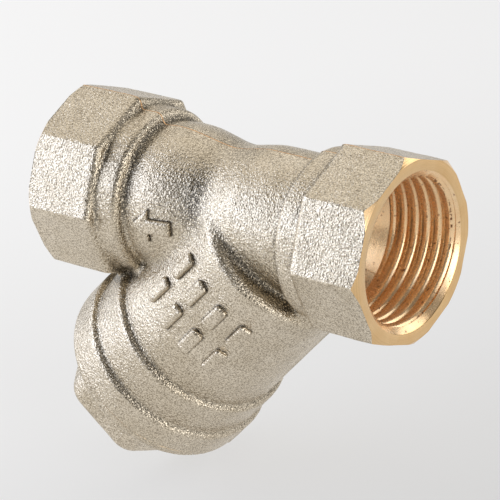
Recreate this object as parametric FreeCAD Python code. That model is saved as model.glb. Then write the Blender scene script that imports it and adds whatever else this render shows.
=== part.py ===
import FreeCAD, Part
import math
import os

# Y strainer, DN15 (G 1/2 internal ends), forged brass body with a screwed cap and a lift-out screen.
# Millimetres. +X leaves the inlet mouth along the pipe axis, +Z is up and the screen branch hangs
# down and towards the outlet in the XZ plane. The origin is the centre of the inlet end face.

# --- Driving dimensions -------------------------------------------------------------------------
face_to_face = 54.0
across_flats = 24.0
octagon_length = 10.6
octagon_edge_round = 0.5
octagon_back_round = 0.9
octagon_corners = 8
end_face_radius = 12.25

thread_minor_radius = 9.3155
thread_depth = 10.6
mouth_radius = 10.7
inlet_passage_radius = 8.5
inlet_passage_end = 15.5
outlet_passage_radius = 7.5
outlet_passage_end = 29.5

band_radius = 11.3
band_end = 14.1
band_edge_round = 0.8
neck_radius = 9.7
neck_end = 22.5
valley_radius = 8.8
valley_middle = 28.0
barrel_start = 33.0
barrel_radius = 10.05

branch_angle = 45.0
branch_offset = 16.8
branch_radius = 12.25
branch_start = 4.5
branch_edge_round = 1.2
first_collar_radius = 13.1
first_collar_start = 26.2
second_collar_radius = 14.0
second_collar_start = 32.5
collar_round = 0.7
branch_end = 36.75

port_radius = 6.3
port_start = -14.0
seat_start = 6.5
seat_radius = 7.75
chamber_start = 9.0
chamber_radius = 9.6
cap_bore_start = 27.5
cap_bore_radius = 10.19
gasket_seat_radius = 12.3
gasket_thickness = 1.2

cap_plug_radius = 10.13
cap_plug_start = 28.5
cap_gap = 0.05
cap_flange_radius = 13.9
cap_flange_thickness = 1.4
cap_flange_round = 0.4
cap_hexagon_corners = 6
cap_hexagon_across_flats = 19.0
cap_hexagon_corner = 3.6
cap_hexagon_end = 46.1
cap_hexagon_top_round = 1.2
cap_hexagon_turn = -5.0
cap_recess_radius = 8.0
cap_recess_end = 37.8
cap_sump_radius = 6.2
cap_sump_end = 42.0
gasket_inner_radius = 10.4

screen_ring_outer = 7.69
screen_ring_inner = 6.3
screen_ring_height = 2.2
screen_ring_floor = 0.5
screen_top = 6.6
screen_bottom = 37.7
tube_outer = 7.3
tube_inner = 6.8
mesh_outer = 6.75
mesh_inner = 6.55
hole_radius = 0.75
holes_around = 18
hole_rows = 12
hole_margin = 3.4

arrow_tip = 37.8
arrow_back = 32.1
arrow_head_length = 2.4
arrow_head_width = 4.2
arrow_shaft_width = 1.9
arrow_height = 0.5

mark_height = 0.4
mark_width = 1.4
mark_length = 4.2
mark_rows = (11.7, 17.8)
mark_pitch_angle = 19.0
marks_in_row = 4

join_overlap = 1.0
EPS = 0.01
X_AXIS = FreeCAD.Vector(1, 0, 0)
Y_AXIS = FreeCAD.Vector(0, 1, 0)
Z_AXIS = FreeCAD.Vector(0, 0, 1)
ORIGIN = FreeCAD.Vector(0, 0, 0)


def v(x, y, z):
    return FreeCAD.Vector(x, y, z)


# The branch frame: local +Z runs down the branch from the pipe axis, local +X points up and left.
BRANCH = FreeCAD.Placement(v(-branch_offset, 0, 0), FreeCAD.Rotation(Y_AXIS, 180 + branch_angle))


def on_branch(shape):
    moved = shape.copy()
    moved.Placement = BRANCH.multiply(moved.Placement)
    return moved


def pipe_cylinder(radius, start, end):
    """Cylinder on the pipe axis between two depths measured from the inlet face."""
    return Part.makeCylinder(radius, end - start, v(-start, 0, 0), v(-1, 0, 0))


def branch_cylinder(radius, start, end):
    """Cylinder on the branch axis, in the branch frame."""
    return Part.makeCylinder(radius, end - start, v(0, 0, start), Z_AXIS)


def branch_tube(outer, inner, start, end):
    bore = branch_cylinder(inner, start - EPS, end + EPS)
    return branch_cylinder(outer, start, end).cut(bore)


def circle_edges(shape, radius, height):
    """Circular edges of a branch-frame shape at one radius and height."""
    found = []
    for edge in shape.Edges:
        curve = edge.Curve
        if isinstance(curve, Part.Circle):
            if abs(curve.Radius - radius) < EPS and abs(curve.Center.z - height) < EPS:
                found.append(edge)
    return found


def octagon(end_depth, back_depth):
    """Octagonal wrench end with a turned 45 degree corner chamfer on its outer face."""
    corner_radius = across_flats / 2 / math.cos(math.pi / octagon_corners)
    corners = []
    for k in range(octagon_corners + 1):
        angle = 2 * math.pi * k / octagon_corners
        corners.append(v(0, corner_radius * math.sin(angle), corner_radius * math.cos(angle)))
    length = back_depth - end_depth
    face = Part.Face(Part.makePolygon(corners))
    prism = face.extrude(v(length, 0, 0))
    sides = [e for e in prism.Edges if abs(e.BoundBox.XLength - abs(length)) < EPS]
    prism = prism.makeFillet(octagon_edge_round, sides)
    far_edges = [e for e in prism.Edges if abs(e.CenterOfMass.x) < EPS]
    prism = prism.makeFillet(octagon_back_round, far_edges)
    prism.translate(v(-back_depth, 0, 0))
    chamfer = corner_radius - end_face_radius
    turned = Part.makeCone(end_face_radius, corner_radius + EPS, chamfer + EPS)
    turned = turned.fuse(Part.makeCylinder(corner_radius + EPS, abs(length), v(0, 0, chamfer + EPS)))
    towards_back = v(-1, 0, 0) if length > 0 else v(1, 0, 0)
    turned.Placement = FreeCAD.Placement(v(-end_depth, 0, 0), FreeCAD.Rotation(Z_AXIS, towards_back))
    return prism.common(turned)


def run_profile():
    """Turned outline between the octagons: band, neck, valley, barrel and the second band."""
    start = octagon_length - join_overlap
    end = face_to_face - start
    far_band = face_to_face - band_end
    edges = [
        Part.makeLine(v(-start, 0, 0), v(-start, 0, band_radius)),
        Part.makeLine(v(-start, 0, band_radius), v(-band_end, 0, band_radius)),
        Part.makeLine(v(-band_end, 0, band_radius), v(-band_end, 0, neck_radius)),
        Part.makeLine(v(-band_end, 0, neck_radius), v(-neck_end, 0, neck_radius)),
        Part.Arc(v(-neck_end, 0, neck_radius), v(-valley_middle, 0, valley_radius),
                 v(-barrel_start, 0, neck_radius)).toShape(),
        Part.Arc(v(-barrel_start, 0, neck_radius), v(-(barrel_start + far_band) / 2, 0, barrel_radius),
                 v(-far_band, 0, neck_radius)).toShape(),
        Part.makeLine(v(-far_band, 0, neck_radius), v(-far_band, 0, band_radius)),
        Part.makeLine(v(-far_band, 0, band_radius), v(-end, 0, band_radius)),
        Part.makeLine(v(-end, 0, band_radius), v(-end, 0, 0)),
        Part.makeLine(v(-end, 0, 0), v(-start, 0, 0)),
    ]
    return Part.Face(Part.Wire(edges))


def run_solid():
    solid = run_profile().revolve(ORIGIN, X_AXIS, 360)
    rounded = []
    for edge in solid.Edges:
        if isinstance(edge.Curve, Part.Circle) and abs(edge.Curve.Radius - band_radius) < EPS:
            depth = -edge.Curve.Center.x
            if min(abs(depth - band_end), abs(depth - face_to_face + band_end)) < EPS:
                rounded.append(edge)
    return solid.makeFillet(band_edge_round, rounded)


def branch_solid():
    """The screen branch with its two stepped collars."""
    barrel = branch_cylinder(branch_radius, branch_start, first_collar_start + join_overlap)
    barrel = barrel.makeFillet(branch_edge_round, circle_edges(barrel, branch_radius, branch_start))
    first = branch_cylinder(first_collar_radius, first_collar_start, second_collar_start + join_overlap)
    first = first.makeFillet(collar_round, circle_edges(first, first_collar_radius, first_collar_start))
    second = branch_cylinder(second_collar_radius, second_collar_start, branch_end)
    second = second.makeFillet(collar_round,
                               circle_edges(second, second_collar_radius, second_collar_start))
    return on_branch(barrel.fuse([first, second]))


def flow_arrow():
    """Raised arrow on the front of the barrel, pointing to the outlet."""
    head_back = arrow_tip - arrow_head_length
    half_head = arrow_head_width / 2
    half_shaft = arrow_shaft_width / 2
    outline = [(arrow_tip, 0), (head_back, half_head), (head_back, half_shaft), (arrow_back, half_shaft),
               (arrow_back, -half_shaft), (head_back, -half_shaft), (head_back, -half_head), (arrow_tip, 0)]
    face = Part.Face(Part.makePolygon([v(-depth, 0, z) for depth, z in outline]))
    return face.extrude(v(0, -(barrel_radius + arrow_height), 0))


def raised_marks():
    """Two rows of plain raised bars round the front of the branch."""
    bars = []
    middle = (marks_in_row - 1) / 2
    reach = branch_radius + mark_height
    skin = branch_cylinder(reach, branch_start, first_collar_start)
    for height in mark_rows:
        for k in range(marks_in_row):
            bar = Part.makeBox(mark_width, reach, mark_length, v(-mark_width / 2, -reach, -mark_length / 2))
            bar.rotate(ORIGIN, Z_AXIS, (k - middle) * mark_pitch_angle)
            bar.translate(v(0, 0, height))
            bars.append(on_branch(bar.common(skin)))
    return bars


def thread_bore(face_depth, direction):
    """Tapping bore with its mouth chamfer; direction is +1 for the inlet and -1 for the outlet."""
    into = v(-direction, 0, 0)
    mouth = v(-face_depth, 0, 0)
    chamfer = mouth_radius - thread_minor_radius
    bore = Part.makeCylinder(thread_minor_radius, thread_depth, mouth, into)
    cone = Part.makeCone(mouth_radius, thread_minor_radius, chamfer, mouth, into)
    return bore.fuse(cone)


def flow_passages():
    """Inlet port to the screen seat, screen chamber, outlet passage and cap bore."""
    inlet = pipe_cylinder(inlet_passage_radius, thread_depth - EPS, inlet_passage_end)
    port = on_branch(branch_cylinder(port_radius, port_start, seat_start + EPS))
    under_roof = pipe_cylinder(outlet_passage_radius, 0, face_to_face)
    below_axis = Part.makeBox(face_to_face, face_to_face, face_to_face,
                              v(-face_to_face, -face_to_face / 2, -face_to_face))
    port = port.common(under_roof.fuse(below_axis))
    outlet = pipe_cylinder(outlet_passage_radius, outlet_passage_end, face_to_face - thread_depth + EPS)
    seat = branch_cylinder(seat_radius, seat_start, chamber_start + EPS)
    chamber = branch_cylinder(chamber_radius, chamber_start, cap_bore_start + EPS)
    cap_bore = branch_cylinder(cap_bore_radius, cap_bore_start, branch_end + EPS)
    gasket_seat = branch_cylinder(gasket_seat_radius, branch_end - gasket_thickness, branch_end + EPS)
    return [inlet, port, outlet] + [on_branch(s) for s in (seat, chamber, cap_bore, gasket_seat)]


def make_body():
    ends = [octagon(0, octagon_length), octagon(face_to_face, face_to_face - octagon_length)]
    outside = run_solid().fuse(ends + [branch_solid(), flow_arrow()] + raised_marks())
    bores = [thread_bore(0, 1), thread_bore(face_to_face, -1)]
    return outside.cut(bores + flow_passages()).removeSplitter()


def rounded_hexagon(start, end):
    """Hexagonal prism with large rounded corners, in the branch frame."""
    corner_radius = cap_hexagon_across_flats / 2 / math.cos(math.pi / cap_hexagon_corners)
    corners = []
    for k in range(cap_hexagon_corners + 1):
        angle = 2 * math.pi * k / cap_hexagon_corners + math.radians(cap_hexagon_turn)
        corners.append(v(corner_radius * math.cos(angle), corner_radius * math.sin(angle), start))
    prism = Part.Face(Part.makePolygon(corners)).extrude(v(0, 0, end - start))
    sides = [e for e in prism.Edges if e.BoundBox.ZLength > (end - start) / 2]
    prism = prism.makeFillet(cap_hexagon_corner, sides)
    top = [e for e in prism.Edges if abs(e.CenterOfMass.z - end) < EPS]
    return prism.makeFillet(cap_hexagon_top_round, top)


def make_cap():
    flange_start = branch_end + cap_gap
    flange_end = flange_start + cap_flange_thickness
    flange = branch_cylinder(cap_flange_radius, flange_start, flange_end)
    flange = flange.makeFillet(cap_flange_round, circle_edges(flange, cap_flange_radius, flange_end))
    plug = branch_cylinder(cap_plug_radius, cap_plug_start, flange_start + cap_flange_thickness / 2)
    boss = rounded_hexagon(flange_end - cap_flange_thickness / 2, cap_hexagon_end)
    recess = branch_cylinder(cap_recess_radius, cap_plug_start - EPS, cap_recess_end)
    sump = branch_cylinder(cap_sump_radius, cap_recess_end - EPS, cap_sump_end)
    return on_branch(flange.fuse([plug, boss]).cut([recess, sump]))


def make_gasket():
    gap = cap_gap
    return on_branch(branch_tube(gasket_seat_radius - gap, gasket_inner_radius,
                                 branch_end - gasket_thickness + gap, branch_end + gap))


def make_screen_ring(outer_end, inwards):
    """End ring with a groove that takes the tube and the cloth; inwards is the groove's side."""
    start = min(outer_end, outer_end + inwards * screen_ring_height)
    ring = branch_tube(screen_ring_outer, screen_ring_inner, start, start + screen_ring_height)
    floor = outer_end + inwards * screen_ring_floor
    open_side = outer_end + inwards * (screen_ring_height + EPS)
    groove = branch_tube(tube_outer, mesh_inner, min(floor, open_side), max(floor, open_side))
    return on_branch(ring.cut(groove))


def make_screen_tube():
    """Perforated sheet tube with staggered rows of round holes."""
    start = screen_top + screen_ring_floor
    end = screen_bottom - screen_ring_floor
    tube = branch_tube(tube_outer, tube_inner, start, end)
    first_row = start + hole_margin
    row_pitch = (end - start - 2 * hole_margin) / (hole_rows - 1)
    reach = tube_outer + join_overlap
    drills = []
    for row in range(hole_rows):
        height = first_row + row * row_pitch
        for k in range(holes_around // 2):
            drill = Part.makeCylinder(hole_radius, 2 * reach, v(-reach, 0, height), X_AXIS)
            drill.rotate(v(0, 0, height), Z_AXIS, 360 / holes_around * (k + row % 2 / 2))
            drills.append(drill)
    return on_branch(tube.cut(drills))


def make_screen_mesh():
    return on_branch(branch_tube(mesh_outer, mesh_inner, screen_top + screen_ring_floor,
                                 screen_bottom - screen_ring_floor))


NODES = {
    "body": make_body,
    "cap": make_cap,
    "cap_gasket": make_gasket,
    "screen_top_ring": lambda: make_screen_ring(screen_top, 1),
    "screen_bottom_ring": lambda: make_screen_ring(screen_bottom, -1),
    "screen_perforated_tube": make_screen_tube,
    "screen_mesh": make_screen_mesh,
}

os.makedirs("parts", exist_ok=True)
for name, make in NODES.items():
    shape = make()
    solids = shape.Solids
    print(name, "solids", len(solids), "valid", shape.isValid(), "volume", round(shape.Volume, 1))
    part = solids[0] if len(solids) == 1 else Part.makeCompound(solids)
    part.exportStep("parts/" + name + ".step")
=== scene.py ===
import math

import bmesh
import bpy
import numpy as np
from mathutils import Matrix, Vector


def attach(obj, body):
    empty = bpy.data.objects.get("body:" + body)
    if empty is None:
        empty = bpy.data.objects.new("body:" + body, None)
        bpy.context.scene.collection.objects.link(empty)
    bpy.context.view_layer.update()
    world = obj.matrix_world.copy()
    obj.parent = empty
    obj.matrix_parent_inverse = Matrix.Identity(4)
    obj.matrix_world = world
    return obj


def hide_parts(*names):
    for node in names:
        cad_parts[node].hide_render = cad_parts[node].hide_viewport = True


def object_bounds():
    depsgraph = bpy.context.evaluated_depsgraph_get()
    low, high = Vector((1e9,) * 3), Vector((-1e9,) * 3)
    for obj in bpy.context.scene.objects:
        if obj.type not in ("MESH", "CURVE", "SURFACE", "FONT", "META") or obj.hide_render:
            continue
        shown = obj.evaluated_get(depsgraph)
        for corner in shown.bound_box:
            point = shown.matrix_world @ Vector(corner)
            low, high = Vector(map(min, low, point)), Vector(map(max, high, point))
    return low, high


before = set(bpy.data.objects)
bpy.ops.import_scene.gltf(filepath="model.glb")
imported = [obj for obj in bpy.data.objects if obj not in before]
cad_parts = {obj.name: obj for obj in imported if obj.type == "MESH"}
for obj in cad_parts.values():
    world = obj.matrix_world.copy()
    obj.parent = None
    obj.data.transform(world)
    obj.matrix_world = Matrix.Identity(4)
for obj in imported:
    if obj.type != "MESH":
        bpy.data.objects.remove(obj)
CAD_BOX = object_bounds()

# --------------------------------------------------------------------------------------------
# Sizes in millimetres, in the part's frame: origin in the middle of the inlet's end face, the
# pipe along X, the branch down and towards the outlet in the XZ plane. Shapes are made in
# millimetres and scaled to metres when they become objects.
# --------------------------------------------------------------------------------------------
MM = 0.001
TAU = 2 * math.pi
SLANT = math.sqrt(0.5)

# pipe ends, which are alike, so their depths count from either end face
FACE_TO_FACE = 54.0
FLAT = 12.0
OCTAGON_LENGTH, OCTAGON_CORNER, OCTAGON_EDGE, OCTAGON_BLEND = 10.6, 0.45, 0.9, 0.45
BAND_RADIUS, BAND_END, BAND_EDGE, BAND_BLEND = 11.3, 14.1, 0.95, 0.9
END_FACE_RADIUS = 12.25
MOUTH_RADIUS = 10.7
PIPE_LAND, PIPE_ROOT, PIPE_PITCH = 9.70, 10.30, 1.814
THREAD_END = 10.6
INLET_PASSAGE, INLET_PASSAGE_END = 8.1, 15.5
OUTLET_PASSAGE, OUTLET_PASSAGE_END = 7.5, FACE_TO_FACE - 29.5

# radius of the run between the octagons, against the depth from the inlet face
RUN = ((0, 9.7), (22.5, 9.7), (24.5, 9.35), (26.3, 8.98), (28, 8.8), (29.7, 8.98), (31.3, 9.3),
       (33, 9.66), (34.6, 9.96), (36.5, 10.1), (38.4, 9.96), (39.9, 9.7), (54, 9.7))
# depth from the inlet face of the middle of the painted shade on the run's waist
WAIST_SHADE_DEPTH = 29.0

# branch, along its own axis from the point where it meets the pipe's
BRANCH_OFFSET = 16.8
BRANCH_START, BRANCH_END = 4.5, 36.75
BRANCH_EDGE, BRANCH_BLEND = 1.3, 1.3
COLLARS = ((26.2, 13.25), (32.5, 14.0))
COLLAR_EDGE, COLLAR_BLEND = 0.62, 0.5
PORT_START, PORT_RADIUS, PORT_ROOF = -14.0, 6.3, 7.5
SEAT_START, SEAT_END, SEAT_RADIUS = 6.5, 9.0, 7.75
CHAMBER_END, CHAMBER_RADIUS = 27.2, 9.6
BORE_START, CAP_BORE, CAP_ROOT, CAP_PITCH = 27.8, 10.19, 11.02, 1.5
CAP_THREAD_START, CAP_THREAD_END = 28.6, 36.6
GASKET_DEPTH, GASKET_SEAT = 1.2, 12.3
RIM_RADIUS, RIM_BEVEL = 14.1, 0.15
# radius of the branch along its axis, with the die's draft
BRANCH = ((4.5, 12.05), (10, 12.12), (22, 12.35), (27, 12.42))

# cap
CAP_START = 36.8
FLANGE_END, FLANGE_RADIUS, FLANGE_EDGE = 38.2, 13.9, 0.45
HEXAGON_END, HEXAGON_FLAT, HEXAGON_CORNER, HEXAGON_TURN = 46.1, 9.5, 3.4, -5.0
HEXAGON_EDGE, HEXAGON_BLEND = 1.5, 1.3
PLUG_START, PLUG_RADIUS = 28.5, 10.12
RIDGE_END, RIDGE_FOOT, RIDGE_TOP = 35.2, 10.10, 10.92
POCKET_END, POCKET_RADIUS = 37.8, 8.0
HOLLOW_END, HOLLOW_RADIUS = 42.0, 6.2
CAP_BEVEL = 0.13

# raised marks: a flow arrow on the run and rows of plain bars on the branch
MARK_HEIGHT = 0.66
ARROW_TAIL, ARROW_BARBS, ARROW_TIP = 32.1, 35.4, 37.8
ARROW_SHAFT, ARROW_HEAD = 0.95, 2.1
BAR_ROWS, BARS_IN_ROW, BAR_ANGLE = (11.7, 17.8), 4, 19.0
BAR_HALF_WIDTH, BAR_HALF_LENGTH, BAR_CORNER = 0.9, 2.2, 0.5

# the forging has this much spare metal where it is machined flat
SPARE = 1.0
# a radius and a place along the branch that are outside of the body
CLEAR = 18.0
PAST_BRANCH = 42.0

# corners and cell size of the grids that the forged shapes are sampled on
BODY_GRID = (-55.6, -14.6, -37.8), (1.6, 14.6, 13.9), 0.335
MARKS_GRID = (-39, -13.6, -21), (-17, -5, 4), 0.18
CAP_GRID_STRETCH, CAP_GRID_HALF, CAP_GRID_CELL = (35.5, 46.6), 14.6, 0.31

ALONG_BRANCH = Vector((-SLANT, 0, -SLANT))
ALONG_PIPE = Vector((-1, 0, 0))
INLET = Vector((0, 0, 0))
OUTLET = Vector((-FACE_TO_FACE, 0, 0))
BRANCH_ORIGIN = Vector((-BRANCH_OFFSET, 0, 0))

# material slots of the body and cap
FORGED, MACHINED = 0, 1


# --------------------------------------------------------------------------------------------
# Signed distances, on arrays of points
# --------------------------------------------------------------------------------------------
def smooth_min(a, b, k):
    """Union of two shapes, blended over a width of about k."""
    h = np.maximum(k - np.abs(a - b), 0) / k
    return np.minimum(a, b) - h * h * k / 4


def rounded_both(a, b, r):
    """Intersection of two half spaces with their common edge rounded to radius r."""
    a, b = a + r, b + r
    return np.hypot(np.maximum(a, 0), np.maximum(b, 0)) + np.minimum(np.maximum(a, b), 0) - r


def polygon_2d(y, z, sides, apothem, corner, turn=0.0):
    """Regular polygon with a corner on the z axis when turn is 0, its corners rounded."""
    step = TAU / sides
    folded = np.abs((np.arctan2(y, z) - turn) % step - step / 2)
    rho = np.hypot(y, z)
    along, across = rho * np.cos(folded) - apothem, rho * np.sin(folded)
    beyond = across - (apothem - corner) * math.tan(step / 2)
    return np.where(beyond > 0, np.hypot(along + corner, beyond) - corner, along)


def smooth_table(table, width, step=0.05):
    """Samples of a piecewise line, blurred so that its corners turn into curves."""
    xs, ys = zip(*table)
    fine = np.arange(xs[0] - 6, xs[-1] + 6, step)
    offsets = np.arange(-3 * width, 3 * width, step)
    weights = np.exp(-((offsets / width) ** 2))
    padded = np.interp(fine[:, None] + offsets[None], xs, ys)
    return fine, padded @ (weights / weights.sum())


RUN_CURVE = smooth_table(RUN, 0.7)
BRANCH_CURVE = smooth_table(BRANCH, 1.0)


def value_noise(x, y, z, size, seed):
    """Smooth random values from -1 to 1, changing over about the given size."""
    p = np.stack([x, y, z]) / size
    cell = np.floor(p).astype(np.int64)
    t = p - cell
    t = t * t * (3 - 2 * t)
    total = 0
    for corner in range(8):
        # a random number for each corner of the cell, hashed from its place
        bits = [corner & 1, corner >> 1 & 1, corner >> 2 & 1]
        n = (cell[0] + bits[0]) * 73856093 ^ (cell[1] + bits[1]) * 19349663
        n = (n ^ (cell[2] + bits[2]) * 83492791 ^ seed * 2654435761) & 0x7FFFFFFF
        n = (n * 1103515245 + 12345) & 0x7FFFFFFF
        n = ((n >> 8) ^ n) & 0xFFFF
        weight = 1
        for axis in range(3):
            weight = weight * (t[axis] if bits[axis] else 1 - t[axis])
        total = total + weight * (n / 32767.5 - 1)
    return total


def unevenness(x, y, z, *layers):
    """Sum of layers of value noise, each given as its height, size and seed."""
    return sum(height * value_noise(x, y, z, size, seed) for height, size, seed in layers)


def along_branch(x, y, z):
    """Distance along the branch, radius from its axis and height towards its upper left side."""
    s = -(x + BRANCH_OFFSET) * SLANT - z * SLANT
    v = -(x + BRANCH_OFFSET) * SLANT + z * SLANT
    return s, np.hypot(v, y), v


def forging(x, y, z):
    """The body as it leaves the die, a little longer at its three ends than when machined."""
    depth, rho = -x, np.hypot(y, z)
    body = rho - np.interp(depth, *RUN_CURVE)
    octagon_side = polygon_2d(y, z, 8, FLAT, OCTAGON_CORNER)
    for end in (depth, FACE_TO_FACE - depth):
        band = rounded_both(rho - BAND_RADIUS, end - BAND_END, BAND_EDGE)
        body = smooth_min(body, band, BAND_BLEND)
        octagon = rounded_both(octagon_side, end - OCTAGON_LENGTH, OCTAGON_EDGE)
        body = smooth_min(body, octagon, OCTAGON_BLEND)

    s, radius, _ = along_branch(x, y, z)
    branch = rounded_both(radius - np.interp(s, *BRANCH_CURVE), BRANCH_START - s, BRANCH_EDGE)
    for start, collar_radius in COLLARS:
        collar = rounded_both(radius - collar_radius, start - s, COLLAR_EDGE)
        branch = smooth_min(branch, collar, COLLAR_BLEND)
    body = smooth_min(body, branch, BRANCH_BLEND)

    parting_ridge = np.exp(-((y / 0.16) ** 2)) * (0.10 + 0.05 * value_noise(x, y, z, 2.3, 4))
    body = body - parting_ridge - unevenness(x, y, z, (0.035, 3.1, 1), (0.016, 1.1, 2))
    ends = np.maximum(-depth, depth - FACE_TO_FACE) - SPARE
    return np.maximum(body, np.maximum(ends, s - BRANCH_END - SPARE))


def arrow_2d(depth, z):
    """Flow arrow outline, pointing to the outlet."""
    shaft = np.maximum(ARROW_TAIL - depth, depth - ARROW_BARBS - 1)
    shaft = np.maximum(np.abs(z) - ARROW_SHAFT, shaft)
    slope = math.atan2(ARROW_HEAD, ARROW_TIP - ARROW_BARBS)
    head = (depth - ARROW_TIP) * math.sin(slope) + np.abs(z) * math.cos(slope)
    return np.minimum(shaft, np.maximum(head, ARROW_BARBS - depth))


def raised_marks(x, y, z):
    """The arrow and the bars, as far below the surface as above it, on the front only."""
    depth, rho = -x, np.hypot(y, z)
    above = rho - np.interp(depth, *RUN_CURVE)
    marks = rounded_both(arrow_2d(depth, z) - 0.1, np.abs(above) - MARK_HEIGHT, 0.4)
    s, radius, v = along_branch(x, y, z)
    side = np.interp(s, *BRANCH_CURVE)
    turn = np.degrees(np.arctan2(-v, -y))
    for row in BAR_ROWS:
        for k in range(BARS_IN_ROW):
            across = np.radians(turn - (k - (BARS_IN_ROW - 1) / 2) * BAR_ANGLE) * side
            bar = rounded_both(np.abs(across) - BAR_HALF_WIDTH, np.abs(s - row) - BAR_HALF_LENGTH,
                               BAR_CORNER)
            marks = np.minimum(marks, rounded_both(bar, np.abs(radius - side) - MARK_HEIGHT, 0.42))
    return np.maximum(marks, y + 4)


def cap_forging(x, y, z):
    """The cap's flange and rounded hexagon as forged, with spare metal below the flange."""
    s, radius, v = along_branch(x, y, z)
    flange = rounded_both(radius - FLANGE_RADIUS, s - FLANGE_END, FLANGE_EDGE)
    hexagon = polygon_2d(y, v, 6, HEXAGON_FLAT, HEXAGON_CORNER, math.radians(HEXAGON_TURN))
    boss = rounded_both(hexagon, s - HEXAGON_END, HEXAGON_EDGE)
    shape = smooth_min(flange, boss, HEXAGON_BLEND)
    shape = shape - unevenness(x, y, z, (0.03, 2.6, 7), (0.014, 1.0, 8))
    return np.maximum(shape, CAP_START - SPARE - s)


# --------------------------------------------------------------------------------------------
# Meshes from signed distances
# --------------------------------------------------------------------------------------------
CORNERS = [(i, j, k) for i in (0, 1) for j in (0, 1) for k in (0, 1)]
# the near and the far ends of all edges of a grid, along one of its directions
HALVES = (slice(None, -1), slice(1, None))


def well_composed(inside):
    """Fills grid points until no filled ones touch only across a diagonal, so the net is manifold."""
    inside = inside.copy()
    for _ in range(8):
        before = inside.sum()
        for axis in range(3):
            corners = []
            for first in HALVES:
                for second in HALVES:
                    pick = [first, second]
                    pick.insert(axis, slice(None))
                    corners.append(tuple(pick))
            a, b, c, d = (inside[k] for k in corners)
            crossed = (a == d) & (b == c) & (a != b)
            for k in corners:
                inside[k] |= crossed
        for flip in range(4):
            a, b = (inside[HALVES[end], HALVES[end ^ (flip & 1)], HALVES[end ^ (flip >> 1)]]
                    for end in (0, 1))
            filled = sum(inside[tuple(HALVES[n] for n in c)].astype(np.int8) for c in CORNERS)
            alone = ((filled == 2) & a & b) | ((filled == 6) & ~a & ~b)
            for i in (0, 1):
                for j in (0, 1):
                    inside[HALVES[i], HALVES[j], HALVES[0]] |= alone
        if inside.sum() == before:
            break
    return inside


def net_points(field, inside):
    """A point in each grid cell that the surface crosses, in cells, and each cell's point number."""
    def at(grid, corner):
        return grid[tuple(HALVES[n] for n in corner)]

    filled = sum(at(inside, c).astype(np.int8) for c in CORNERS)
    active = (filled > 0) & (filled < 8)
    number = np.full(active.shape, -1, np.int64)
    number[active] = np.arange(active.sum())
    total = np.zeros((active.sum(), 3))
    hits = np.zeros(active.sum())
    for a in CORNERS:
        for axis in range(3):
            if a[axis]:
                continue
            b = tuple(c + (n == axis) for n, c in enumerate(a))
            fa, fb = at(field, a)[active], at(field, b)[active]
            crossed = (fa < 0) != (fb < 0)
            point = np.tile(np.array(a, float), (crossed.sum(), 1))
            point[:, axis] += fa[crossed] / (fa[crossed] - fb[crossed])
            total[crossed] += point
            hits[crossed] += 1
    return np.argwhere(active) + total / hits[:, None], number


def net_faces(inside, number):
    """A quad, facing out, round each grid edge that crosses the surface."""
    cells = number.shape
    faces = []
    for axis in range(3):
        b, c = (axis + 1) % 3, (axis + 2) % 3
        here = [slice(1, n) for n in cells]
        here[axis] = slice(0, cells[axis])
        there = list(here)
        there[axis] = slice(1, cells[axis] + 1)
        first, second = inside[tuple(here)], inside[tuple(there)]
        start = np.array([1, 1, 1])
        start[axis] = 0
        for crossing, leaving in ((first & ~second, True), (~first & second, False)):
            at_edge = np.argwhere(crossing) + start
            ring = []
            for db, dc in ((0, 0), (1, 0), (1, 1), (0, 1)):
                cell = at_edge.copy()
                cell[:, b] -= 1 - db
                cell[:, c] -= 1 - dc
                ring.append(number[cell[:, 0], cell[:, 1], cell[:, 2]])
            quads = np.stack(ring, 1)
            faces.append(quads if leaving else quads[:, ::-1])
    return np.concatenate(faces)


def pulled_onto(distance, points, longest, step=0.02):
    """Points moved onto the zero surface in three moves, none over the longest one allowed."""
    for _ in range(3):
        value = distance(*points.T)
        slope = np.empty_like(points)
        for axis in range(3):
            move = np.zeros(3)
            move[axis] = step
            ahead, behind = distance(*(points + move).T), distance(*(points - move).T)
            slope[:, axis] = (ahead - behind) / (2 * step)
        size = np.maximum((slope ** 2).sum(1), 0.3)
        shift = slope * (value / size)[:, None]
        length = np.linalg.norm(shift, axis=1, keepdims=True)
        points = points - shift * np.minimum(1, longest / np.maximum(length, 1e-9))
    return points


def surface_net(distance, low, high, cell):
    """Closed quad mesh of a signed distance's zero surface, sampled between two corners."""
    low, high = np.array(low, float), np.array(high, float)
    counts = np.ceil((high - low) / cell).astype(int) + 1
    axes = [low[a] + cell * np.arange(counts[a]) for a in range(3)]
    y, z = np.meshgrid(axes[1], axes[2], indexing="ij")
    field = np.empty(counts, np.float32)
    for i, x in enumerate(axes[0]):
        field[i] = distance(np.full_like(y, x), y, z)
    inside = well_composed(field < 0)
    field = np.where(inside, np.minimum(field, -1e-3), np.maximum(field, 1e-3))
    points, number = net_points(field, inside)
    return pulled_onto(distance, low + cell * points, 0.4 * cell), net_faces(inside, number)


# --------------------------------------------------------------------------------------------
# Objects
# --------------------------------------------------------------------------------------------
def mesh_object(name, points, faces, slot=MACHINED):
    """Object in metres from points in millimetres, all its faces forged or all machined."""
    mesh = bpy.data.meshes.new(name)
    mesh.from_pydata([tuple(p) for p in np.asarray(points) * MM], [], [tuple(f) for f in faces])
    mesh.validate()
    mesh.materials.append(SKIN)
    mesh.materials.append(BRASS)
    mesh.polygons.foreach_set("material_index", [slot] * len(mesh.polygons))
    obj = bpy.data.objects.new(name, mesh)
    bpy.context.scene.collection.objects.link(obj)
    return obj


def placed(name, points, faces, origin, axis):
    """Object from a shape that is made round its z axis, moved to origin and turned along axis."""
    rotation = axis.to_track_quat("Z", "Y").to_matrix().to_4x4()
    matrix = np.array(Matrix.Translation(origin) @ rotation)
    points = np.asarray(points, float) @ matrix[:3, :3].T + matrix[:3, 3]
    return outward(mesh_object(name, points, faces))


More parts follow.
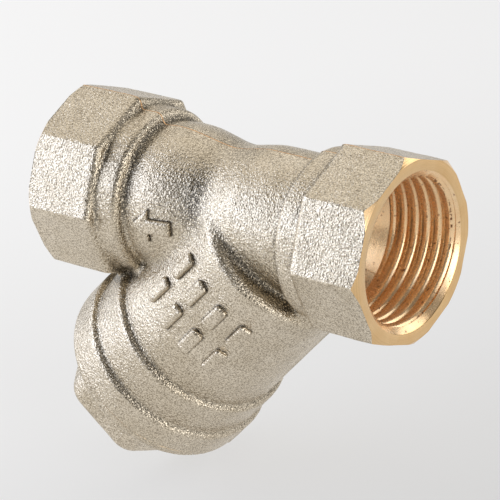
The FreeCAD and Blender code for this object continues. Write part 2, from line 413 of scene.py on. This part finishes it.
def outward(obj):
    """Turns a closed mesh's faces so that they point out of it."""
    work = bmesh.new()
    work.from_mesh(obj.data)
    bmesh.ops.recalc_face_normals(work, faces=work.faces)
    if work.calc_volume(signed=True) < 0:
        bmesh.ops.reverse_faces(work, faces=work.faces)
    work.to_mesh(obj.data)
    work.free()
    return obj


def turned(name, profile, origin, axis, steps=160):
    """Closed solid of revolution. profile runs from the axis round to the axis, as (along, radius)."""
    angles = TAU * np.arange(steps) / steps
    points, rings = [], []
    for along, radius in profile:
        if radius == 0:
            rings.append([len(points)])
            points.append((0, 0, along))
        else:
            rings.append(list(range(len(points), len(points) + steps)))
            points += [(radius * math.cos(a), radius * math.sin(a), along) for a in angles]
    faces = []
    for first, second in zip(rings, rings[1:]):
        for i in range(steps):
            j = (i + 1) % steps
            if len(first) == 1:
                faces.append((first[0], second[j], second[i]))
            elif len(second) == 1:
                faces.append((first[i], first[j], second[0]))
            else:
                faces.append((first[i], first[j], second[j], second[i]))
    return placed(name, points, faces, origin, axis)


def helix(name, section, start, end, pitch, origin, axis, steps=96, fade=0.5):
    """Closed solid of a thread section swept along a right-hand helix. section lists (across, radius);
    at both ends the radii run out to the section's first one over the given share of a turn."""
    count = max(int(steps * (end - start) / pitch), 8)
    foot = section[0][1]
    points = []
    for i in range(count + 1):
        turn = i / steps
        share = min(1.0, (count - i) / (steps * fade), i / (steps * fade))
        ease = share * share * (3 - 2 * share)
        for across, radius in section:
            r = foot + (radius - foot) * max(ease, 0.02)
            angle = TAU * turn
            points.append((r * math.cos(angle), r * math.sin(angle), start + turn * pitch + across))
    n = len(section)
    faces = [tuple(range(n)), tuple(reversed(range(count * n, count * n + n)))]
    for i in range(count):
        for j in range(n):
            k = (j + 1) % n
            faces.append((i * n + j, (i + 1) * n + j, (i + 1) * n + k, i * n + k))
    return placed(name, points, faces, origin, axis)


def combine(target, cutter, operation):
    """Boolean of two closed meshes, kept in target; the cutter is used up."""
    modifier = target.modifiers.new("cut", "BOOLEAN")
    modifier.operation = operation
    modifier.object = cutter
    modifier.solver = "MANIFOLD"
    modifier.material_mode = "INDEX"
    graph = bpy.context.evaluated_depsgraph_get()
    made = bpy.data.meshes.new_from_object(target.evaluated_get(graph))
    target.modifiers.clear()
    old, spent = target.data, cutter.data
    target.data = made
    bpy.data.objects.remove(cutter)
    bpy.data.meshes.remove(old)
    bpy.data.meshes.remove(spent)


def vertex_vectors(mesh, name):
    values = np.empty(len(mesh.vertices) * 3, np.float32)
    mesh.vertices.foreach_get(name, values)
    return values.reshape(-1, 3).astype(float)


def set_point_attribute(mesh, name, values):
    attribute = mesh.attributes.new(name, "FLOAT", "POINT")
    attribute.data.foreach_set("value", np.asarray(values, np.float32))


def crease_edges(mesh, crease=math.radians(33)):
    """Smooth shading, with sharp edges where machining meets the skin or turns a corner."""
    work = bmesh.new()
    work.from_mesh(mesh)
    bmesh.ops.dissolve_degenerate(work, dist=1e-7, edges=work.edges)
    for face in work.faces:
        face.smooth = True
    for edge in work.edges:
        if len(edge.link_faces) != 2:
            continue
        a, b = edge.link_faces
        if a.material_index != b.material_index:
            edge.smooth = False
        elif a.material_index == MACHINED and edge.calc_face_angle(0) > crease:
            edge.smooth = False
    work.to_mesh(mesh)
    work.free()


def paint_hollow_shade(mesh, distance):
    """Writes the painted shade of the skin: hollow, from 0 to 1, a painted shade where a point that looks
    up lies in a hollow of the forging or on the run's waist, and foot, 1 round the foot of a raised mark,
    where a painted shadow line goes."""
    points, normals = vertex_vectors(mesh, "co") / MM, vertex_vectors(mesh, "normal")
    # painted shade in hollows: the less room there is above a point, the darker
    hollow = 0
    for reach, gain, allowed in ((0.7, 1.5, 0), (1.8, 1, 0.20)):
        clear = distance(*(points + reach * normals).T) / reach
        hollow = np.maximum(hollow, np.clip(gain * (1 - clear) - allowed, 0, 1))
    x, _, z = points.T
    # painted shade: a soft dark stripe across the top and front of the run's waist
    waist = 0.5 * np.exp(-((x + WAIST_SHADE_DEPTH) / 2.0) ** 2) * np.clip((z + 1) / 3, 0, 1)
    waist = waist * np.clip((9 - z) / 3, 0.3, 1)
    # painted shade is kept on faces that look up and mostly left off faces that look down
    up_facing_shade_share = np.clip((normals[:, 2] + 0.42) / 0.55, 0.10, 1)
    # the painted shade in the two crevices beside the branch fades out towards their lower ends
    s, _, _ = along_branch(*points.T)
    fork_shade_fade = np.where(s < 23, np.clip((z + 10.5) / 5, 0.15, 1), 1)
    # painted shadow: points round the foot of a raised mark, for a dark line there
    foot = (np.abs(distance(*points.T)) < 0.05) & (np.abs(raised_marks(*points.T)) < 0.05)
    set_point_attribute(mesh, "hollow", np.maximum(hollow, waist) * up_facing_shade_share * fork_shade_fade)
    set_point_attribute(mesh, "foot", foot)


def mark_turning(mesh):
    """Writes "turning": the coordinate across the branch's tool marks, or 0 on the pipe's axis."""
    s, radius, _ = along_branch(*(vertex_vectors(mesh, "co") / MM).T)
    on_branch = (s > SEAT_START - 0.1) & (radius < RIM_RADIUS + 0.4)
    set_point_attribute(mesh, "turning", np.where(on_branch, s + radius, 0))


def finish_surface(obj, distance):
    crease_edges(obj.data)
    paint_hollow_shade(obj.data, distance)
    mark_turning(obj.data)


# --------------------------------------------------------------------------------------------
# Material nodes
# --------------------------------------------------------------------------------------------
def new_material(name):
    material = bpy.data.materials.new(name)
    material.use_nodes = True
    tree = material.node_tree
    return material, tree, tree.nodes["Principled BSDF"]


def fill(tree, node, inputs):
    """Links sockets to a node's inputs and sets plain values on them."""
    for key, value in inputs.items():
        if isinstance(value, bpy.types.NodeSocket):
            tree.links.new(value, node.inputs[key])
        else:
            node.inputs[key].default_value = value


def add(tree, kind, inputs=None, **settings):
    node = tree.nodes.new(kind)
    for key, value in settings.items():
        setattr(node, key, value)
    fill(tree, node, inputs or {})
    return node


def in_metres(tree):
    return add(tree, "ShaderNodeTexCoord").outputs["Object"]


def in_millimetres(tree):
    scale = (1 / MM,) * 3
    return add(tree, "ShaderNodeMapping", {"Vector": in_metres(tree), "Scale": scale}).outputs[0]


def split(tree, vector):
    return add(tree, "ShaderNodeSeparateXYZ", {"Vector": vector}).outputs


def attribute(tree, name):
    return add(tree, "ShaderNodeAttribute", attribute_name=name).outputs["Fac"]


def noise(tree, where, scale, detail=2.0, roughness=0.5):
    return add(tree, "ShaderNodeTexNoise", {"Vector": where, "Scale": scale, "Detail": detail,
                                            "Roughness": roughness}).outputs["Fac"]


def grey(value):
    return (value,) * 3


def ramp(tree, value, *stops):
    """Colour that runs between two stops, each given as its place and its colour."""
    node = add(tree, "ShaderNodeValToRGB", {"Fac": value})
    for element, (at, colour) in zip(node.color_ramp.elements, stops):
        element.position = at
        element.color = (*colour, 1)
    return node.outputs["Color"]


def mask(tree, value, low, high):
    return ramp(tree, value, (low, grey(0)), (high, grey(1)))


def calculate(tree, operation, a, b=0.0, clamp=False):
    return add(tree, "ShaderNodeMath", {0: a, 1: b}, operation=operation, use_clamp=clamp).outputs[0]


def plus(tree, a, b):
    return calculate(tree, "ADD", a, b)


def minus(tree, a, b, clamp=False):
    return calculate(tree, "SUBTRACT", a, b, clamp)


def times(tree, a, b, clamp=False):
    return calculate(tree, "MULTIPLY", a, b, clamp)


def mix_colour(tree, factor, a, b, blend="MIX"):
    return add(tree, "ShaderNodeMix", {"Factor": factor, "A": a, "B": b}, data_type="RGBA",
               blend_type=blend).outputs["Result"]


def bump(tree, height, strength, distance):
    return add(tree, "ShaderNodeBump", {"Height": height, "Strength": strength,
                                        "Distance": distance}).outputs[0]


# --------------------------------------------------------------------------------------------
# Materials. Places and noise scales are in millimetres
# --------------------------------------------------------------------------------------------
def worn_to_brass(tree, where):
    """Mask of the parting ridge on top of the body and of the rims at the cap's seam."""
    axes = split(tree, where)
    on_top = times(tree, minus(tree, axes["Z"], 6.5), 0.5, True)
    off_plane = calculate(tree, "DIVIDE", calculate(tree, "ABSOLUTE", axes["Y"]), 0.22)
    parting = minus(tree, on_top, off_plane, True)
    along = times(tree, plus(tree, plus(tree, axes["X"], axes["Z"]), BRANCH_OFFSET), -SLANT)
    from_seam = calculate(tree, "ABSOLUTE", minus(tree, along, BRANCH_END + 0.02))
    seam = minus(tree, 0.42, calculate(tree, "DIVIDE", from_seam, 0.3), True)
    uneven = plus(tree, noise(tree, where, 0.9, 3.0, 0.6), 0.42)
    return mask(tree, times(tree, calculate(tree, "MAXIMUM", parting, seam), uneven), 0.30, 0.60)


def plated_skin():
    """Shot-blasted nickel plate, warm from the brass below, with painted shade as dark speckle in its
    hollows and a painted shadow line round the raised marks.
    """
    material, tree, shader = new_material("plated_skin")
    where = in_millimetres(tree)
    cloud = noise(tree, where, 0.22)
    plate = ramp(tree, cloud, (0.35, (0.70, 0.61, 0.47)), (0.65, (0.78, 0.69, 0.55)))

    fine = noise(tree, where, 5.0, 1.0)
    fleck = ramp(tree, fine, (0.35, (0.42, 0.39, 0.35)), (0.58, grey(1.08)))
    # painted shade: in hollows and on the run's waist the grain turns to near black speckle with a few
    # bright grains, darker the deeper the hollow
    hollow = attribute(tree, "hollow")
    shade_deepening = times(tree, minus(tree, hollow, 0.35, True), 0.30)
    shaded_speckle_noise = minus(tree, fine, calculate(tree, "MINIMUM", shade_deepening, 0.08))
    hollow_shade_speckle = ramp(tree, shaded_speckle_noise, (0.50, (0.04, 0.035, 0.03)), (0.63, (1.12, 1.10, 1.06)))
    fleck = mix_colour(tree, times(tree, hollow, 2.1, True), fleck, hollow_shade_speckle)
    plate = mix_colour(tree, 0.8, plate, fleck, "MULTIPLY")

    # painted shadow: a near black line round the feet of the raised marks
    foot = times(tree, attribute(tree, "foot"), 0.95)
    plate = mix_colour(tree, foot, plate, (0.09, 0.075, 0.06, 1))
    colour = mix_colour(tree, worn_to_brass(tree, where), plate, (0.70, 0.42, 0.21, 1))

    grain = noise(tree, where, 4.0, 1.0)
    pits = noise(tree, where, 1.7)
    height = plus(tree, grain, times(tree, pits, 0.6))
    fill(tree, shader, {"Base Color": colour,
                        "Metallic": 1.0,
                        "Roughness": ramp(tree, grain, (0.3, grey(0.34)), (0.7, grey(0.22))),
                        "Normal": bump(tree, height, 0.66, 0.00022)})
    return material


def machined_brass():
    """Bright turned brass: pale end faces, bores painted a brighter, redder brass to stand in for light
    inside them, dark chips, and fine tool marks.
    """
    material, tree, shader = new_material("machined_brass")
    where = in_millimetres(tree)
    axes = split(tree, where)
    squares = [times(tree, axes[name], axes[name]) for name in ("Y", "Z")]
    rho = calculate(tree, "SQRT", plus(tree, *squares))
    in_bore = calculate(tree, "LESS_THAN", rho, MOUTH_RADIUS - 0.1)

    cloud = noise(tree, where, 0.35, 3.0, 0.6)
    face = ramp(tree, cloud, (0.3, (0.82, 0.535, 0.255)), (0.7, (0.88, 0.61, 0.32)))
    # painted light: the bores get a brighter brass than the faces, standing in for light inside them
    bore_painted_brighter = ramp(tree, cloud, (0.3, (0.98, 0.66, 0.36)), (0.7, (1.0, 0.74, 0.45)))
    colour = mix_colour(tree, in_bore, face, bore_painted_brighter)

    chip = times(tree, in_bore, mask(tree, noise(tree, where, 1.5, 4.0, 0.7), 0.62, 0.68))
    from_middle = calculate(tree, "ABSOLUTE", plus(tree, axes["X"], FACE_TO_FACE / 2))
    at_mouth = calculate(tree, "GREATER_THAN", from_middle, FACE_TO_FACE / 2 - 1.1)
    first_thread = times(tree, at_mouth, calculate(tree, "LESS_THAN", rho, PIPE_LAND + 0.22))
    ragged = times(tree, first_thread, mask(tree, noise(tree, where, 1.3, 4.0, 0.7), 0.50, 0.56))
    dark = calculate(tree, "MAXIMUM", chip, ragged)
    colour = mix_colour(tree, dark, colour, (0.20, 0.08, 0.03, 1))

    turning = attribute(tree, "turning")
    on_branch = calculate(tree, "GREATER_THAN", turning, 0.5)
    across = add(tree, "ShaderNodeMix", {"Factor": on_branch, "A": minus(tree, rho, axes["X"]),
                                         "B": turning}).outputs["Result"]
    across = add(tree, "ShaderNodeCombineXYZ", {"X": times(tree, across, 4.5)}).outputs[0]
    lines = noise(tree, across, 1.0, 3.0, 0.6)
    rings = ramp(tree, lines, (0.30, (0.86, 0.84, 0.82)), (0.62, grey(1.05)))

    speck = noise(tree, where, 2.2, 4.0, 0.7)
    rough = ramp(tree, speck, (0.3, grey(0.18)), (0.75, grey(0.26)))
    height = plus(tree, lines, times(tree, speck, 0.2))
    fill(tree, shader, {"Base Color": mix_colour(tree, 0.8, colour, rings, "MULTIPLY"),
                        "Metallic": minus(tree, 1.0, times(tree, in_bore, 0.22)),
                        "Roughness": plus(tree, rough, times(tree, in_bore, 0.04)),
                        "Normal": bump(tree, height, 0.5, 0.00004)})
    return material


def stainless(name, colour, roughness, brush):
    """Stainless steel; brush stretches its streaks, in the branch's own directions."""
    material, tree, shader = new_material(name)
    turned_to_branch = add(tree, "ShaderNodeVectorRotate",
                           {"Vector": in_metres(tree), "Angle": math.radians(45)},
                           rotation_type="Y_AXIS").outputs[0]
    stretched = add(tree, "ShaderNodeMapping", {"Vector": turned_to_branch, "Scale": brush}).outputs[0]
    streaks = noise(tree, stretched, 1.0, 4.0, 0.6)
    dull = tuple(0.82 * c for c in colour)
    rough = ramp(tree, streaks, (0.3, grey(roughness)), (0.7, grey(roughness + 0.12)))
    fill(tree, shader, {"Base Color": ramp(tree, streaks, (0.3, dull), (0.7, colour)),
                        "Metallic": 1.0,
                        "Roughness": rough,
                        "Normal": bump(tree, streaks, 0.2, 0.00002)})
    return material


def gasket_rubber():
    """Matte sealing washer, dark fibre in rubber."""
    material, tree, shader = new_material("gasket_rubber")
    fibre = noise(tree, in_millimetres(tree), 2.6, 4.0, 0.65)
    colour = ramp(tree, fibre, (0.35, (0.018, 0.018, 0.019)), (0.7, (0.05, 0.048, 0.045)))
    fill(tree, shader, {"Base Color": colour,
                        "Roughness": 0.72,
                        "Normal": bump(tree, fibre, 0.3, 0.00006)})
    return material


SKIN = plated_skin()
BRASS = machined_brass()
RUBBER = gasket_rubber()
SHEET = stainless("stainless_sheet", (0.62, 0.61, 0.59), 0.22, (2500, 2500, 160))
WIRE = stainless("stainless_wire", (0.58, 0.57, 0.55), 0.28, (900, 900, 900))


# --------------------------------------------------------------------------------------------
# Body
# --------------------------------------------------------------------------------------------
def groove(minor, major, flank, root, edge):
    """Section of a thread cut, from just inside the bore, over rounded land edges, to the root."""
    lean = math.tan(math.radians(flank))
    foot = root + (major - minor) * lean
    half = [(foot + 1.7 * edge, minor - 0.08), (foot + 1.6 * edge, minor - 0.04 * edge),
            (foot + 0.5 * edge, minor + 0.35 * edge), (foot - 0.55 * edge, minor + 1.05 * edge),
            (root + 0.05, major - 0.08), (root - 0.03, major)]
    return half + [(-across, radius) for across, radius in reversed(half)]


def end_machining(name, origin, axis, passage, passage_end):
    """What the lathe removes at a pipe end: face, corner chamfer, mouth, tapping bore and passage."""
    mouth_depth = MOUTH_RADIUS - PIPE_LAND
    cone_end = THREAD_END + (PIPE_LAND - passage + 0.25)
    profile = [(passage_end, 0), (passage_end, passage), (cone_end, passage), (THREAD_END, PIPE_LAND),
               (mouth_depth, PIPE_LAND), (0.06, MOUTH_RADIUS - 0.06), (0, MOUTH_RADIUS + 0.05),
               (0, END_FACE_RADIUS), (1.5, END_FACE_RADIUS + 1.5), (1.5, CLEAR), (-3, CLEAR), (-3, 0)]
    return turned(name, profile, origin, axis, 192)


def machine_ends(body):
    ends = (("inlet", INLET, ALONG_PIPE, INLET_PASSAGE, INLET_PASSAGE_END),
            ("outlet", OUTLET, -ALONG_PIPE, OUTLET_PASSAGE, OUTLET_PASSAGE_END))
    for end in ends:
        combine(body, end_machining(*end), "DIFFERENCE")
    section = groove(PIPE_LAND, PIPE_ROOT, 27.5, 0.05, 0.22)
    for _, origin, axis, _, _ in ends:
        tap = helix("tap", section, -2.1, THREAD_END - 0.50, PIPE_PITCH, origin, axis, fade=0.25)
        combine(body, tap, "DIFFERENCE")


def cut_port(body):
    """The hole from the inlet's passage into the screen, which stays below the run's upper wall."""
    profile = [(PORT_START, 0), (PORT_START, PORT_RADIUS), (SEAT_START + 0.1, PORT_RADIUS),
               (SEAT_START + 0.1, 0)]
    port = turned("port", profile, BRANCH_ORIGIN, ALONG_BRANCH, 96)
    profile = [(0, 0), (0, PORT_ROOF), (FACE_TO_FACE, PORT_ROOF), (FACE_TO_FACE, 0)]
    allowed = turned("roof", profile, INLET, ALONG_PIPE, 96)
    below_axis = [(x, y, z) for x in (-50, 0) for y in (-20, 20) for z in (-40, 0.001)]
    sides = [(0, 1, 3, 2), (4, 6, 7, 5), (0, 4, 5, 1), (2, 3, 7, 6), (0, 2, 6, 4), (1, 5, 7, 3)]
    combine(allowed, outward(mesh_object("below", below_axis, sides)), "UNION")
    combine(port, allowed, "INTERSECT")
    combine(body, port, "DIFFERENCE")


def machine_branch(body):
    """The screen's seat, the chamber, the cap's threaded bore, the gasket's seat and the rim."""
    gasket_seat = BRANCH_END - GASKET_DEPTH
    bevel_end = BRANCH_END - RIM_BEVEL
    profile = [(SEAT_START, 0), (SEAT_START, SEAT_RADIUS), (SEAT_END, SEAT_RADIUS),
               (SEAT_END, CHAMBER_RADIUS), (CHAMBER_END, CHAMBER_RADIUS), (BORE_START, CAP_BORE),
               (gasket_seat, CAP_BORE), (gasket_seat, GASKET_SEAT), (BRANCH_END, GASKET_SEAT),
               (BRANCH_END, RIM_RADIUS - RIM_BEVEL), (bevel_end, RIM_RADIUS), (bevel_end, CLEAR),
               (PAST_BRANCH, CLEAR), (PAST_BRANCH, 0)]
    combine(body, turned("chamber", profile, BRANCH_ORIGIN, ALONG_BRANCH), "DIFFERENCE")
    section = groove(CAP_BORE, CAP_ROOT, 30, 0.09, 0.05)
    tap = helix("tap", section, CAP_THREAD_START, CAP_THREAD_END, CAP_PITCH, BRANCH_ORIGIN, ALONG_BRANCH)
    combine(body, tap, "DIFFERENCE")


def make_body():
    points, faces = surface_net(forging, *BODY_GRID)
    body = mesh_object("body_forging", points, faces, FORGED)
    points, faces = surface_net(raised_marks, *MARKS_GRID)
    combine(body, mesh_object("marks", points, faces, FORGED), "UNION")
    machine_ends(body)
    cut_port(body)
    machine_branch(body)
    finish_surface(body, forging)
    return body


BODY = make_body()
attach(BODY, "body")
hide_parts("body")


# --------------------------------------------------------------------------------------------
# Cap
# --------------------------------------------------------------------------------------------
def make_plug():
    """The threaded plug, which reaches a little into the flange."""
    root = CAP_START + 0.5
    core = [(PLUG_START, 0), (PLUG_START, PLUG_RADIUS - 0.62), (PLUG_START + 0.6, PLUG_RADIUS),
            (root, PLUG_RADIUS), (root, 0)]
    plug = turned("plug", core, BRANCH_ORIGIN, ALONG_BRANCH)
    lean = math.tan(math.radians(30))
    half = [(0.108 + 0.82 * lean, RIDGE_FOOT), (0.12, RIDGE_TOP - 0.04), (0.06, RIDGE_TOP)]
    section = half + [(-across, radius) for across, radius in reversed(half)]
    ridge = helix("ridge", section, CAP_THREAD_START + CAP_PITCH, RIDGE_END, CAP_PITCH,
                  BRANCH_ORIGIN, ALONG_BRANCH)
    combine(plug, ridge, "UNION")
    return plug


def cap_grid():
    """The corners of the box, in the part's frame, round the cap's stretch of the branch."""
    half = CAP_GRID_HALF
    s, v = np.array([(s, v) for s in CAP_GRID_STRETCH for v in (-half, half)]).T
    xs = -BRANCH_OFFSET - SLANT * s - SLANT * v
    zs = -SLANT * s + SLANT * v
    return (xs.min(), -half, zs.min()), (xs.max(), half, zs.max())


def make_cap():
    """The forging, cut flat below the flange, with the plug added and both bored out."""
    points, faces = surface_net(cap_forging, *cap_grid(), CAP_GRID_CELL)
    cap = mesh_object("cap_forging", points, faces, FORGED)

    rim = CAP_START + CAP_BEVEL
    under = [(30, 0), (30, 20), (rim, 20), (rim, 14.0), (CAP_START, 13.85), (CAP_START, 0)]
    opening = PLUG_START - 0.5
    hollow = [(opening, 0), (opening, POCKET_RADIUS + 0.3), (opening + 0.8, POCKET_RADIUS),
              (POCKET_END, POCKET_RADIUS), (POCKET_END, HOLLOW_RADIUS), (HOLLOW_END - 0.4, HOLLOW_RADIUS),
              (HOLLOW_END, HOLLOW_RADIUS - 0.4), (HOLLOW_END, 0)]
    combine(cap, turned("face", under, BRANCH_ORIGIN, ALONG_BRANCH, 64), "DIFFERENCE")
    combine(cap, make_plug(), "UNION")
    combine(cap, turned("hollow", hollow, BRANCH_ORIGIN, ALONG_BRANCH), "DIFFERENCE")
    finish_surface(cap, cap_forging)
    return cap


CAP = make_cap()
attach(CAP, "cap")
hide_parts("cap")


# --------------------------------------------------------------------------------------------
# Screen: woven wire cloth inside the perforated tube
# --------------------------------------------------------------------------------------------
def add_wire(points, faces, path, thickness, closed):
    """Adds a square wire along a path of centres, each with its outward and sideways direction."""
    ring, n = len(points), len(path)
    for centre, out, side in path:
        for k in range(4):
            a = TAU * k / 4
            points.append(centre + thickness * (math.cos(a) * out + math.sin(a) * side))
    for i in range(n if closed else n - 1):
        j = (i + 1) % n
        for k in range(4):
            m = (k + 1) % 4
            faces.append((ring + 4 * i + k, ring + 4 * j + k, ring + 4 * j + m, ring + 4 * i + m))
    if not closed:
        faces.append(tuple(ring + k for k in range(4)))
        faces.append(tuple(ring + 4 * (n - 1) + k for k in reversed(range(4))))


def make_cloth(radius=6.65, start=7.1, end=37.2, around=56, wire=0.05):
    """Plain-weave wire cloth rolled into a tube: straight wires and hoops that pass over and under."""
    pitch = TAU * radius / around
    hoops = int((end - start) / pitch)
    points, faces = [], []
    along = np.array([0, 0, 1.0])
    for i in range(around):
        a = TAU * i / around
        out = np.array([math.cos(a), math.sin(a), 0])
        side = np.array([-math.sin(a), math.cos(a), 0])
        path = []
        for h in range(2 * hoops - 1):
            lift = wire * math.cos(math.pi * (h / 2 + i))
            path.append((out * (radius + lift) + along * (start + pitch * (h / 2 + 0.5)), out, side))
        add_wire(points, faces, path, wire, False)
    for h in range(hoops):
        path = []
        for i in range(2 * around):
            a = TAU * i / (2 * around)
            out = np.array([math.cos(a), math.sin(a), 0])
            lift = -wire * math.cos(math.pi * (i / 2 + h))
            path.append((out * (radius + lift) + along * (start + pitch * (h + 0.5)), out, along))
        add_wire(points, faces, path, wire, True)
    return placed("screen_cloth", points, faces, BRANCH_ORIGIN, ALONG_BRANCH)


def cover(obj, material):
    """Gives an object one material."""
    obj.data.materials.clear()
    obj.data.materials.append(material)


CLOTH = make_cloth()
cover(CLOTH, WIRE)
CLOTH.data.polygons.foreach_set("material_index", [0] * len(CLOTH.data.polygons))
CLOTH.data.polygons.foreach_set("use_smooth", [True] * len(CLOTH.data.polygons))
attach(CLOTH, "screen")
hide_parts("screen_mesh")

for node in ("screen_perforated_tube", "screen_top_ring", "screen_bottom_ring"):
    cover(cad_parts[node], SHEET)
cover(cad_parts["cap_gasket"], RUBBER)


# --------------------------------------------------------------------------------------------
# Camera, floor and light, in degrees and metres
# --------------------------------------------------------------------------------------------
CAMERA_AZIMUTH, CAMERA_ELEVATION, CAMERA_ROLL = 39.001, 24.346, -4.152
CAMERA_TARGET, CAMERA_DISTANCE = Vector((-26.69, 0, -5.56)) * MM, 433.18 * MM
SENSOR, LENS = 36.0, 236.15136
LIT_POINT = Vector((-0.027, 0, -0.012))
FLOOR_GAP = 0.0004
# name, direction that it comes from, distance, width and height, power and colour
LIGHTS = (("key_left", (-1.0, -0.58, 0.38), 0.9, (1.15, 0.72), 6.0, (0.87, 0.955, 1.16)),
          ("top", (-0.45, 0.35, 1.0), 1.0, (1.4, 1.4), 4.5, (1.0, 0.965, 0.91)),
          ("right", (0.95, -0.18, 0.16), 0.9, (0.6, 0.42), 2.6, (1.0, 1.0, 1.0)),
          ("back_right", (0.50, 0.78, 0.38), 0.9, (0.55, 0.5), 1.6, (1.0, 1.0, 1.0)),
          ("mouth", (0.80, -0.27, 0.52), 0.9, (0.42, 0.42), 0.6, (0.93, 0.97, 1.1)),
          ("back_left", (-0.55, 0.76, 0.46), 0.9, (0.8, 0.5), 0.62, (1.0, 1.0, 1.0)))


def make_camera():
    azimuth, elevation, roll = map(math.radians, (CAMERA_AZIMUTH, CAMERA_ELEVATION, CAMERA_ROLL))
    back = Vector((math.sin(azimuth) * math.cos(elevation), -math.cos(azimuth) * math.cos(elevation),
                   math.sin(elevation)))
    right = Vector((math.cos(azimuth), math.sin(azimuth), 0))
    up = back.cross(right)
    rolled_right = right * math.cos(roll) + up * math.sin(roll)
    rolled_up = up * math.cos(roll) - right * math.sin(roll)
    data = bpy.data.cameras.new("camera")
    data.sensor_width, data.lens = SENSOR, LENS
    data.clip_start, data.clip_end = 0.02, 20
    camera = bpy.data.objects.new("camera", data)
    bpy.context.scene.collection.objects.link(camera)
    rotation = Matrix((rolled_right, rolled_up, back)).transposed().to_4x4()
    camera.matrix_world = Matrix.Translation(CAMERA_TARGET + back * CAMERA_DISTANCE) @ rotation
    bpy.context.scene.camera = camera


def make_light(name, direction, distance, size, power, colour):
    """Rectangular soft light, turned towards the part."""
    data = bpy.data.lights.new(name, "AREA")
    data.shape = "RECTANGLE"
    data.size, data.size_y = size
    data.energy = power
    data.color = colour
    light = bpy.data.objects.new(name, data)
    bpy.context.scene.collection.objects.link(light)
    away = Vector(direction).normalized()
    light.location = LIT_POINT + away * distance
    light.rotation_mode = "QUATERNION"
    light.rotation_quaternion = away.to_track_quat("Z", "Y")


def floor_paper(height):
    """Grey paper with a painted white glow of its own, which is weaker under the part, a painted soft
    shadow, and to its right, painted shade.
    """
    material, tree, shader = new_material("floor_paper")
    where = in_metres(tree)
    # painted light: the floor glows, less near the part as a painted shadow
    away = add(tree, "ShaderNodeVectorMath", {0: where, 1: (0.05, -0.015, height)}, operation="DISTANCE")
    glow = add(tree, "ShaderNodeMapRange", {"Value": away.outputs["Value"], "From Min": 0.0,
                                            "From Max": 0.225, "To Min": 0.56, "To Max": 0.74},
               interpolation_type="SMOOTHSTEP").outputs["Result"]
    # painted shade: the glow drops a little towards the right
    side = add(tree, "ShaderNodeVectorMath", {0: where, 1: (0.777, 0.629, 0.0)}, operation="DOT_PRODUCT")
    fade = add(tree, "ShaderNodeMapRange", {"Value": side.outputs["Value"], "From Min": -0.065,
                                            "From Max": 0.03, "To Min": 0.0, "To Max": 0.05})
    fill(tree, shader, {"Base Color": (0.22, 0.22, 0.22, 1),
                        "Roughness": 0.9,
                        "Specular IOR Level": 0.1,
                        "Emission Color": (1.0, 0.995, 0.99, 1),
                        "Emission Strength": minus(tree, glow, fade.outputs["Result"])})
    return material


def make_floor(height, half=6.0):
    data = bpy.data.meshes.new("floor")
    corners = [(x * half, y * half, height) for x, y in ((-1, -1), (1, -1), (1, 1), (-1, 1))]
    data.from_pydata(corners, [], [(0, 1, 2, 3)])
    data.materials.append(floor_paper(height))
    floor = bpy.data.objects.new("floor", data)
    bpy.context.scene.collection.objects.link(floor)


def make_world():
    world = bpy.data.worlds.new("studio")
    bpy.context.scene.world = world
    world.use_nodes = True
    background = world.node_tree.nodes["Background"]
    background.inputs["Color"].default_value = (1.0, 0.95, 0.86, 1)
    background.inputs["Strength"].default_value = 0.14


make_camera()
make_floor(CAD_BOX[0].z - FLOOR_GAP)
make_world()
for light in LIGHTS:
    make_light(*light)
bpy.context.scene.view_settings.view_transform = "Standard"
